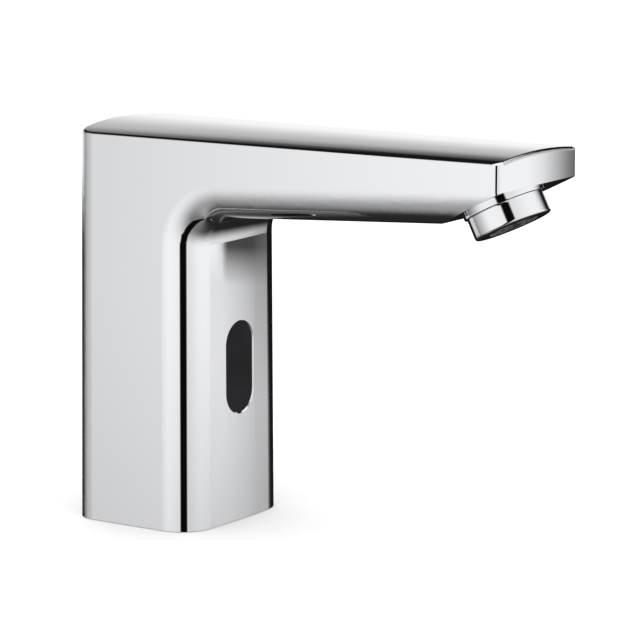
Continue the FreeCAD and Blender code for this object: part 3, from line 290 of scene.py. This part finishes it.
# ---- Inlet fitting, strainer and check valve ----
# Water comes in through a turned brass fitting. An etched strainer cup lies in its end, and over it
# a moulded cartridge holds a sprung poppet that lets no water back.
turned_brass = start_finish("turned_brass", (0.72, 0.53, 0.25), 1.0, 0.28)
tinted(turned_brass, cloudy(turned_brass, 180.0), (0.66, 0.47, 0.20), (0.77, 0.58, 0.30))
brass_rings = cloudy(turned_brass, 700.0, (0.4, 0.4, 6.0))
feed(turned_brass, between(turned_brass, brass_rings, 0.18, 0.4), "Roughness")
relief(turned_brass, cloudy(turned_brass, 900.0, (0.3, 0.3, 8.0)), 0.000012)
dress(turned_brass, "inlet_fitting")

etched_steel = start_finish("etched_steel", (0.64, 0.65, 0.67), 1.0, 0.35)
tinted(etched_steel, cloudy(etched_steel, 800.0), (0.58, 0.59, 0.61), (0.70, 0.71, 0.73))
feed(etched_steel, between(etched_steel, cloudy(etched_steel, 2500.0), 0.25, 0.5), "Roughness")
dress(etched_steel, "inlet_strainer")

satin_white = start_finish("satin_white", (0.80, 0.80, 0.77), 0.0, 0.4)
satin_white.node_tree.nodes["Principled BSDF"].inputs["Subsurface Weight"].default_value = 0.08
satin_white.node_tree.nodes["Principled BSDF"].inputs["Subsurface Scale"].default_value = 0.001
tinted(satin_white, cloudy(satin_white, 150.0), (0.76, 0.76, 0.73), (0.84, 0.84, 0.82))
feed(satin_white, between(satin_white, cloudy(satin_white, 600.0), 0.32, 0.5), "Roughness")
relief(satin_white, cloudy(satin_white, 1800.0), 0.00001)
dress(satin_white, "check_valve_housing", "check_valve_guide")

valve_blue = start_finish("valve_blue", (0.06, 0.18, 0.48), 0.0, 0.38)
tinted(valve_blue, cloudy(valve_blue, 150.0), (0.045, 0.15, 0.42), (0.08, 0.22, 0.54))
feed(valve_blue, between(valve_blue, cloudy(valve_blue, 600.0), 0.3, 0.48), "Roughness")
dress(valve_blue, "check_valve_poppet")

spring_wire = start_finish("spring_wire", (0.68, 0.69, 0.71), 1.0, 0.22)
tinted(spring_wire, cloudy(spring_wire, 1500.0), (0.60, 0.61, 0.63), (0.74, 0.75, 0.77))
feed(spring_wire, between(spring_wire, cloudy(spring_wire, 3000.0), 0.15, 0.32), "Roughness")
dress(spring_wire, "check_valve_spring")
dress(black_rubber, "inlet_o_ring", "check_valve_o_ring")

# ---- Valve block and bonnet ----
# Both are moulded in grey, glass-filled plastic, which is matte, mottled and slightly hairy with
# fibre where it flowed. The bonnet clamps the diaphragm's rim with four screws.
fibre_grey = start_finish("fibre_grey", (0.36, 0.37, 0.39), 0.0, 0.5)
tinted(fibre_grey, cloudy(fibre_grey, 260.0, (1.0, 1.0, 0.35), 6.0), (0.30, 0.31, 0.33), (0.43, 0.44, 0.46))
feed(fibre_grey, between(fibre_grey, cloudy(fibre_grey, 900.0, (1.0, 0.2, 1.0)), 0.4, 0.62), "Roughness")
relief(fibre_grey, cloudy(fibre_grey, 1500.0, (1.0, 0.25, 1.0)), 0.00003)
dress(fibre_grey, "valve_block", "valve_bonnet")

# ---- Diaphragm, its insert and spring ----
# A moulded rubber disc closes the main way. A white insert with the pilot hole is buttoned into its
# middle, and a light spring presses both down.
dress(black_rubber, "diaphragm")
dress(satin_white, "diaphragm_insert")
dress(spring_wire, "diaphragm_spring")

# ---- Armature tube, core, plunger and its spring ----
# Turned stainless pieces. The plunger slides in the tube, carries a rubber seal in its nose, and is
# pushed down by its own spring.
turned_steel = start_finish("turned_steel", (0.58, 0.59, 0.61), 1.0, 0.22)
tinted(turned_steel, cloudy(turned_steel, 200.0), (0.53, 0.54, 0.56), (0.63, 0.64, 0.66))
steel_rings = cloudy(turned_steel, 800.0, (0.3, 0.3, 8.0))
feed(turned_steel, between(turned_steel, steel_rings, 0.14, 0.34), "Roughness")
relief(turned_steel, cloudy(turned_steel, 1200.0, (0.2, 0.2, 10.0)), 0.000008)
dress(turned_steel, "armature_tube", "fixed_core", "plunger")
dress(black_rubber, "plunger_seal")
dress(spring_wire, "plunger_spring")

# ---- Coil ----
# A white bobbin is wound with enamelled copper wire, turn by turn. A bent steel yoke carries the
# field round it, and a sintered magnet on top latches the plunger.
winding_low, winding_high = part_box("coil_winding")
winding_middle = ((winding_low[0] + winding_high[0]) / 2, (winding_low[1] + winding_high[1]) / 2)
winding_outer = (winding_high[0] - winding_low[0]) / 2
winding_inner = 0.0062
winding_turns = 44
winding_columns = 96


def revolved(radius, height, columns, centre):
    """Closed section of (radius, height) points carried round an upright line; radius may vary
    with the angle, and the last point joins the first."""
    angle = np.arange(columns)[None, :] * 2 * np.pi / columns
    x = radius * np.cos(angle) + centre[0]
    y = radius * np.sin(angle) + centre[1]
    z = height * np.ones_like(angle)
    points = np.stack([x, y, z], axis=-1)
    rows = points.shape[0]
    index = np.arange(rows * columns).reshape(rows, columns)
    across = np.roll(index, -1, axis=1)
    above = np.roll(index, -1, axis=0)
    both = np.roll(across, -1, axis=0)
    faces = np.stack([index, across, both, above], axis=-1).reshape(-1, 4)
    return points.reshape(-1, 3), faces


def facing_out(points, faces):
    """Turns all quads round if the volume that they enclose comes out negative."""
    a, b, c, d = (points[faces[:, k]] for k in range(4))
    volume = np.einsum("ij,ij->", a, np.cross(b, c)) + np.einsum("ij,ij->", a, np.cross(c, d))
    return points, (faces if volume > 0 else faces[:, ::-1]).tolist()


def wound_section(inner, outer, low, high, turns, steps=8):
    """Outline of a wound layer: each turn bulges by half a circle, and the inside is straight."""
    wire = (high - low) / turns / 2
    t = (np.arange(turns * steps) + 0.5) / (turns * steps)
    phase = (t * turns) % 1.0
    bulge = np.sqrt(np.maximum(0.0, 1.0 - (2 * phase - 1) ** 2))
    radius = outer - wire + wire * bulge
    height = low + t * (high - low)
    radius = np.concatenate([radius, [outer - wire, inner, inner, outer - wire]])
    height = np.concatenate([height, [high, high, low, low]])
    return radius[:, None], height[:, None]


copper_enamel = start_finish("copper_enamel", (0.70, 0.28, 0.12), 1.0, 0.24)
copper_enamel.node_tree.nodes["Principled BSDF"].inputs["Coat Weight"].default_value = 0.6
copper_enamel.node_tree.nodes["Principled BSDF"].inputs["Coat Roughness"].default_value = 0.08
tinted(copper_enamel, cloudy(copper_enamel, 500.0, (1.0, 1.0, 4.0)), (0.58, 0.20, 0.08), (0.78, 0.34, 0.15))
feed(copper_enamel, between(copper_enamel, cloudy(copper_enamel, 1500.0), 0.16, 0.34), "Roughness")
wound_radius, wound_height = wound_section(
    winding_inner, winding_outer, winding_low[2], winding_high[2], winding_turns
)
wound = facing_out(*revolved(wound_radius, wound_height, winding_columns, winding_middle))
wound_coil = build_piece("wound_coil", [wound], copper_enamel, "tap")
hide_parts("coil_winding")

yoke_zinc = start_finish("yoke_zinc", (0.52, 0.53, 0.55), 1.0, 0.36)
tinted(yoke_zinc, cloudy(yoke_zinc, 220.0, detail=6.0), (0.44, 0.45, 0.48), (0.60, 0.61, 0.62))
feed(yoke_zinc, between(yoke_zinc, cloudy(yoke_zinc, 900.0), 0.28, 0.5), "Roughness")
relief(yoke_zinc, cloudy(yoke_zinc, 1400.0), 0.00001)
dress(yoke_zinc, "coil_yoke")
sintered_ferrite = start_finish("sintered_ferrite", (0.10, 0.10, 0.11), 0.35, 0.5)
tinted(sintered_ferrite, cloudy(sintered_ferrite, 1200.0), (0.07, 0.07, 0.075), (0.14, 0.14, 0.15))
relief(sintered_ferrite, cloudy(sintered_ferrite, 2600.0), 0.00003)
dress(sintered_ferrite, "latch_magnet")
dress(satin_white, "coil_bobbin")

# ---- Spout tube and its O-rings ----
# Drawn copper tube, bent cold. It carries water from the block to the aerator's chamber, plugs in at
# both ends, and is sealed there by an O-ring.
drawn_copper = start_finish("drawn_copper", (0.76, 0.38, 0.24), 1.0, 0.28)
tinted(drawn_copper, cloudy(drawn_copper, 90.0, detail=6.0), (0.66, 0.29, 0.17), (0.82, 0.45, 0.30))
drawn_lines = cloudy(drawn_copper, 500.0, (1.0, 0.15, 0.3))
feed(drawn_copper, between(drawn_copper, drawn_lines, 0.2, 0.42), "Roughness")
relief(drawn_copper, cloudy(drawn_copper, 700.0, (1.0, 0.1, 0.2)), 0.00001)
dress(drawn_copper, "spout_tube")
dress(black_rubber, "tube_o_rings")

# ---- Battery, its holder, cap and contacts ----
# A six-volt lithium pack in a shrink sleeve sits in a moulded cup on three brass standoffs. The cap
# is pressed on over the two brass contacts.
sleeve_blue = start_finish("sleeve_blue", (0.035, 0.055, 0.10), 0.0, 0.3)
tinted(sleeve_blue, cloudy(sleeve_blue, 60.0, (1.0, 1.0, 0.4)), (0.028, 0.045, 0.085), (0.045, 0.068, 0.12))
feed(sleeve_blue, between(sleeve_blue, cloudy(sleeve_blue, 350.0), 0.22, 0.42), "Roughness")
relief(sleeve_blue, cloudy(sleeve_blue, 220.0, (1.0, 1.0, 3.0)), 0.00006)
dress(sleeve_blue, "battery")
dress(turned_brass, "battery_standoffs", "battery_contacts")
dress(eroded_black, "battery_holder", "battery_cap")

# ---- Leads ----
# Two thin two-core leads leave the sensor case's top: a short one arches to the coil, and a longer
# one rises over the battery to its cap. Both are limp and lie in one even arch.
lead_radius = 0.00075
lead_start_y = -0.01645
coil_lead_x = -0.007
coil_lead_end_y = -0.0072
battery_lead_x = 0.007
battery_lead_end_y = 0.012
case_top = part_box("battery_lead")[0][2]
bobbin_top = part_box("coil_bobbin")[1][2]
cap_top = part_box("battery_cap")[1][2]


def lay_lead(name, start, crest, end_y, end_z):
    """Cord whose line follows four control points: up, over and down."""
    x, y, z = start
    route = [(x, y, z), (x, y, crest), (x, end_y, crest), (x, end_y, end_z)]
    curve = bpy.data.curves.new(name, "CURVE")
    curve.dimensions = "3D"
    curve.bevel_depth = lead_radius
    curve.bevel_resolution = 4
    curve.resolution_u = 24
    curve.use_fill_caps = True
    spline = curve.splines.new("NURBS")
    spline.points.add(len(route) - 1)
    spline.points.foreach_set("co", [value for point in route for value in (*point, 1.0)])
    spline.order_u = 3
    spline.use_endpoint_u = True
    curve.materials.append(lead_sleeve)
    piece = bpy.data.objects.new(name, curve)
    bpy.context.scene.collection.objects.link(piece)
    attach(piece, "tap")
    return piece


lead_sleeve = start_finish("lead_sleeve", (0.03, 0.03, 0.031), 0.0, 0.5)
tinted(lead_sleeve, cloudy(lead_sleeve, 300.0), (0.022, 0.022, 0.023), (0.042, 0.042, 0.044))
relief(lead_sleeve, cloudy(lead_sleeve, 1500.0), 0.00002)
coil_start = (coil_lead_x, lead_start_y, case_top)
coil_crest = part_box("coil_lead")[1][2] - lead_radius
coil_cable = lay_lead("coil_cable", coil_start, coil_crest, coil_lead_end_y, bobbin_top)
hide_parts("coil_lead")
battery_start = (battery_lead_x, lead_start_y, case_top)
battery_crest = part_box("battery_lead")[1][2] - lead_radius
battery_cable = lay_lead("battery_cable", battery_start, battery_crest, battery_lead_end_y, cap_top)
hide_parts("battery_lead")

# ---- Base plate and its seal ----
# A turned and milled brass plate stands on the deck and holds all that is inside. The body drops
# over it, and a rubber seal lies in its groove underneath.
dress(turned_brass, "base_plate")
dress(black_rubber, "base_seal")

# ---- Aerator ----
# A chrome plated brass ring screws up into the leaning seat on an M24 x 1 thread. It holds a black
# insert with a grid, a flow regulator, a screen and a washer.
seat_middle = np.array([0.0, -0.14111, 0.12924])
seat_lean = math.radians(27.0)
ring_radius = 0.0142
ring_bore = 0.0103
ring_top = -0.00135
ring_low = -0.00935
lip_radius = 0.0093
lip_top = -0.00795
spigot_top = 0.005
thread_crest = 0.0114
thread_depth = 0.00045
thread_pitch = 0.001
thread_runout = 0.0006
thread_end = 0.0002
crisp_angle = math.radians(35.0)
edge_round = 0.0009
shoulder_round = 0.0003
ring_columns = 168


def rounded_corner(radius, height, reach, start, end, steps=9):
    """Quarter circle about (radius, height), from a start angle to an end angle in degrees."""
    angle = np.radians(np.linspace(start, end, steps))
    return radius + reach * np.cos(angle), height + reach * np.sin(angle)


def along(a, b, steps):
    """Evenly spaced points from a to b, without b."""
    t = np.arange(steps)[:, None] / steps
    points = np.array(a) * (1 - t) + np.array(b) * t
    return points[:, 0], points[:, 1]


def ring_section():
    """Outline of the ring: inside of the lip, rounded rim, skirt, shoulder, thread and bore."""
    pieces = [
        along((lip_radius, lip_top), (lip_radius, ring_low), 4),
        along((lip_radius, ring_low), (ring_radius - edge_round, ring_low), 8),
        rounded_corner(ring_radius - edge_round, ring_low + edge_round, edge_round, -90, 0),
        along((ring_radius, ring_low + edge_round), (ring_radius, ring_top - shoulder_round), 12),
        rounded_corner(ring_radius - shoulder_round, ring_top - shoulder_round, shoulder_round, 0, 90, 5),
        along((ring_radius - shoulder_round, ring_top), (thread_crest, ring_top), 6),
        along((thread_crest, ring_top), (thread_crest, spigot_top), 110),
        along((thread_crest, spigot_top), (ring_bore, spigot_top), 4),
        along((ring_bore, spigot_top), (ring_bore, lip_top), 24),
        along((ring_bore, lip_top), (lip_radius, lip_top), 3),
    ]
    radius = np.concatenate([piece[0] for piece in pieces])
    height = np.concatenate([piece[1] for piece in pieces])
    return radius[:, None], height[:, None]


def smooth(value, start, end):
    """0 before start, 1 after end, and an S-curve between."""
    t = np.clip((value - start) / (end - start), 0.0, 1.0)
    return t * t * (3.0 - 2.0 * t)


def threaded(radius, height, columns):
    """Takes a V-shaped helical groove out of the spigot's wall, fading out at both its ends."""
    turn = np.arange(columns)[None, :] / columns
    phase = (height / thread_pitch - turn) % 1.0
    groove = 1.0 - np.abs(2.0 * phase - 1.0)
    begun = smooth(height, ring_top + thread_runout, ring_top + 2 * thread_runout)
    ended = smooth(height, spigot_top - thread_end - thread_runout, spigot_top - thread_end)
    on_wall = np.isclose(radius, thread_crest)
    return radius - thread_depth * groove * begun * (1 - ended) * on_wall


def leaned(points):
    """Upright points moved to the leaning seat."""
    c, s = math.cos(seat_lean), math.sin(seat_lean)
    x, y, z = points.T
    return np.stack([x, c * y + s * z, -s * y + c * z], axis=-1) + seat_middle


section_radius, section_height = ring_section()
ring_points, ring_faces = revolved(
    threaded(section_radius, section_height, ring_columns), section_height, ring_columns, (0.0, 0.0)
)
ring_part = facing_out(leaned(ring_points), ring_faces)
ring_chrome = start_finish("ring_chrome", (0.92, 0.925, 0.94), 1.0, 0.04)
feed(ring_chrome, between(ring_chrome, cloudy(ring_chrome, 300.0), 0.03, 0.08), "Roughness")
relief(ring_chrome, cloudy(ring_chrome, 120.0, detail=0.0), 0.000008)
chrome_ring = build_piece("threaded_ring", [ring_part], ring_chrome, "aerator_ring")
sharp = chrome_ring.modifiers.new("crisp_edges", "EDGE_SPLIT")
sharp.split_angle = crisp_angle
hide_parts("aerator_housing")
dress(eroded_black, "aerator_insert")
dress(valve_blue, "flow_regulator")
dress(etched_steel, "aerator_mesh")
dress(black_rubber, "aerator_washer")

# ---- Light tent, floor and camera ----
# The tap stands on a white sheet inside a tent of white cloth and dark boards, which its chrome
# mirrors. The tent has a slot for the camera, and its far right corner is dark up to eye level.
# Directions and heights are degrees seen from the tent's middle. A pair is where a soft edge starts
# and ends; a sheet and a glow have their light first.
tent_radius = 0.6
tent_middle = (0.0, -0.06, 0.1)
tent_rows = 180
tent_columns = 540
cloth_light = 0.94
shaded_cloth = 0.95
ceiling_light = 1.05
board_light = 0.008
ceiling_board_light = 0.006
tip_board_light = 0.06
ground_light = 0.02
slot_light = 0.003

dim_share = 0.16
dim_direction = -130.0
dim_width = 28.0
board_left = -12.0
board_left_width = 18.5
board_left_power = 1.85
thin_sheet = (0.04, 55.0, 90.0)
grey_sheet = (0.51, 83.0, 121.0)
white_sheet = (0.45, 117.0, 166.0)
slant_share = 0.8
slant_height = -13.6
slant_limits = (-4.0, 12.0)
slant_left = (-75.0, -50.0)
slant_right = (0.0, 30.0)

left_glow = (0.3, 148.0, 35.0)
right_glow = (0.17, -130.0, 60.0)
ground_edge = (-54.0, -8.0)

tip_board_left = (-60.0, -50.0)
tip_board_right = (-30.0, -20.0)
tip_board_bottom = (-11.5, -9.5)
tip_board_top = (-3.0, 2.0)
tip_board_edge = (-39.3, -36.7)

corner_left = (-12.0, 5.0)
corner_right = (70.0, 110.0)
corner_bottom = (-9.0, -3.0)
eye_level = (-9.0, -4.0)
shading = (7.0, 21.0)
shading_share = 0.5
ceiling_board_edge = (19.0, 25.0)

ceiling_edge = (34.0, 44.0)
dark_ceiling_left = (-25.0, 5.0)
dark_ceiling_right = (140.0, 165.0)

slot_direction = -145.5
slot_side = (9.0, 13.5)
slot_top = (25.0, 32.0)


def signed(angle):
    """The same direction as an angle from -180 up to 180 degrees."""
    return (angle + 180.0) % 360.0 - 180.0


def bell(turn, centre, width):
    """Bell curve about a direction, the shorter way round: e to minus (angle over width) squared."""
    return np.exp(-((signed(turn - centre) / width) ** 2))


def inside(value, rise, fall):
    """1 between two soft edges and 0 outside them; each edge is the pair of its start and end."""
    return smooth(value, *rise) * (1.0 - smooth(value, *fall))


def over(below, above, cover):
    """One brightness laid over another: below where cover is 0, above where it is 1."""
    return below * (1.0 - cover) + above * cover


def wall_light(turn):
    """White cloth all round, a little dimmer behind the camera. A dark board stands at the far right:
    its left edge fades as one minus a bell, and its right edge through three overlapping sheets."""
    left = 1.0 - np.exp(-((np.maximum(0.0, board_left - turn) / board_left_width) ** board_left_power))
    sheets = (thin_sheet, grey_sheet, white_sheet)
    right = sum(share * smooth(turn, start, end) for share, start, end in sheets)
    dimmed = 1.0 - dim_share * bell(turn, dim_direction, dim_width)
    return board_light + cloth_light * np.where(turn < 0.0, left, right) * dimmed


def low_light(turn):
    """The ground: dark, with a broad glow on each side of the camera."""
    glows = sum(level * bell(turn, centre, width) for level, centre, width in (left_glow, right_glow))
    return ground_light + glows


def upper_light(height):
    """Cloth seen over the board: it starts at eye level, dims upward and ends under a dark ceiling."""
    shaded = shaded_cloth * smooth(height, *eye_level) * (1.0 - shading_share * smooth(height, *shading))
    return over(shaded, ceiling_board_light, smooth(height, *ceiling_board_edge))


def tent_light(azimuth, height):
    """Brightness of the tent by direction in degrees from its middle. Over the walls lie in turn the
    ground, a board's edge that the spout's tip mirrors, the upper cloth, the ceiling and the slot."""
    turn = signed(azimuth)
    slant = slant_share * np.clip(height - slant_height, *slant_limits)
    light = wall_light(turn + slant * inside(turn, slant_left, slant_right))
    light = over(light, low_light(turn), 1.0 - smooth(height, *ground_edge))

    at_tip = inside(turn, tip_board_left, tip_board_right) * inside(height, tip_board_bottom, tip_board_top)
    light = over(light, over(shaded_cloth, tip_board_light, smooth(turn, *tip_board_edge)), at_tip)

    corner = inside(turn, corner_left, corner_right) * smooth(height, *corner_bottom)
    light = over(light, upper_light(height), corner)

    ceiling = over(ceiling_light, board_light, inside(turn, dark_ceiling_left, dark_ceiling_right))
    light = over(light, ceiling, smooth(height, *ceiling_edge))

    away = np.abs(signed(azimuth - slot_direction))
    gap = (1.0 - smooth(away, *slot_side)) * (1.0 - smooth(height, *slot_top))
    return over(light, slot_light, gap)


def dome(radius, middle, rows, columns):
    """Sphere: each row is a circle of latitude, each column a meridian."""
    elevation, azimuth = np.meshgrid(
        np.linspace(-90.0, 90.0, rows), np.arange(columns) * 360.0 / columns, indexing="ij"
    )
    e, a = np.radians(elevation), np.radians(azimuth)
    points = np.stack([np.cos(e) * np.cos(a), np.cos(e) * np.sin(a), np.sin(e)], axis=-1)
    return points * radius + np.array(middle), azimuth, elevation


tent_points, tent_azimuth, tent_elevation = dome(tent_radius, tent_middle, tent_rows, tent_columns)
inward_faces = quads_between(tent_rows, tent_columns)[:, ::-1]
tent_mesh = bpy.data.meshes.new("light_tent")
tent_mesh.from_pydata(tent_points.reshape(-1, 3).tolist(), [], inward_faces.tolist())
glow = tent_light(tent_azimuth, tent_elevation).reshape(-1, 1)
shade = np.concatenate([glow, glow, glow, np.ones_like(glow)], axis=1)
glow_layer = tent_mesh.color_attributes.new("glow", "FLOAT_COLOR", "POINT")
glow_layer.data.foreach_set("color", shade.ravel())
tent = bpy.data.objects.new("light_tent", tent_mesh)
bpy.context.scene.collection.objects.link(tent)
tent_cloth = bpy.data.materials.new("tent_cloth")
tent_cloth.use_nodes = True
tent_nodes = tent_cloth.node_tree.nodes
tent_nodes.clear()
tent_glow = tent_nodes.new("ShaderNodeAttribute")
tent_glow.attribute_name = "glow"
tent_lamp = tent_nodes.new("ShaderNodeEmission")
tent_out = tent_nodes.new("ShaderNodeOutputMaterial")
tent_cloth.node_tree.links.new(tent_glow.outputs["Color"], tent_lamp.inputs["Color"])
tent_cloth.node_tree.links.new(tent_lamp.outputs["Emission"], tent_out.inputs["Surface"])
tent_mesh.materials.append(tent_cloth)
tent.visible_camera = False
tent.visible_diffuse = False
tent.visible_shadow = False

studio_light = 1.35
world = bpy.data.worlds.new("studio")
world.use_nodes = True
world.node_tree.nodes["Background"].inputs["Color"].default_value = (1.0, 1.0, 1.0, 1.0)
world.node_tree.nodes["Background"].inputs["Strength"].default_value = studio_light
bpy.context.scene.world = world
bpy.context.scene.view_settings.view_transform = "Standard"

floor_half = 8.0
floor_level = -0.0002
floor_corners = [
    (-floor_half, -floor_half, floor_level), (floor_half, -floor_half, floor_level),
    (floor_half, floor_half, floor_level), (-floor_half, floor_half, floor_level),
]
floor_mesh = bpy.data.meshes.new("floor")
floor_mesh.from_pydata(floor_corners, [], [(0, 1, 2, 3)])
floor = bpy.data.objects.new("floor", floor_mesh)
bpy.context.scene.collection.objects.link(floor)
floor_sheet = start_finish("floor_sheet", (0.96, 0.96, 0.96), 0.0, 0.9)
floor_mesh.materials.append(floor_sheet)
floor.visible_glossy = False

camera_place = (-1.040697, -0.778716, 0.317859)
camera_target = (0.041391, -0.035302, 0.069614)
camera_data = bpy.data.cameras.new("camera")
camera_data.lens = 199.61
camera_data.sensor_width = 36.0
camera_data.clip_end = 50.0
camera = bpy.data.objects.new("camera", camera_data)
bpy.context.scene.collection.objects.link(camera)
camera.location = camera_place
aim = np.array(camera_target) - np.array(camera_place)
camera.rotation_euler = (
    math.atan2(math.hypot(aim[0], aim[1]), -aim[2]),
    0.0,
    math.atan2(-aim[0], aim[1]),
)
bpy.context.scene.camera = camera
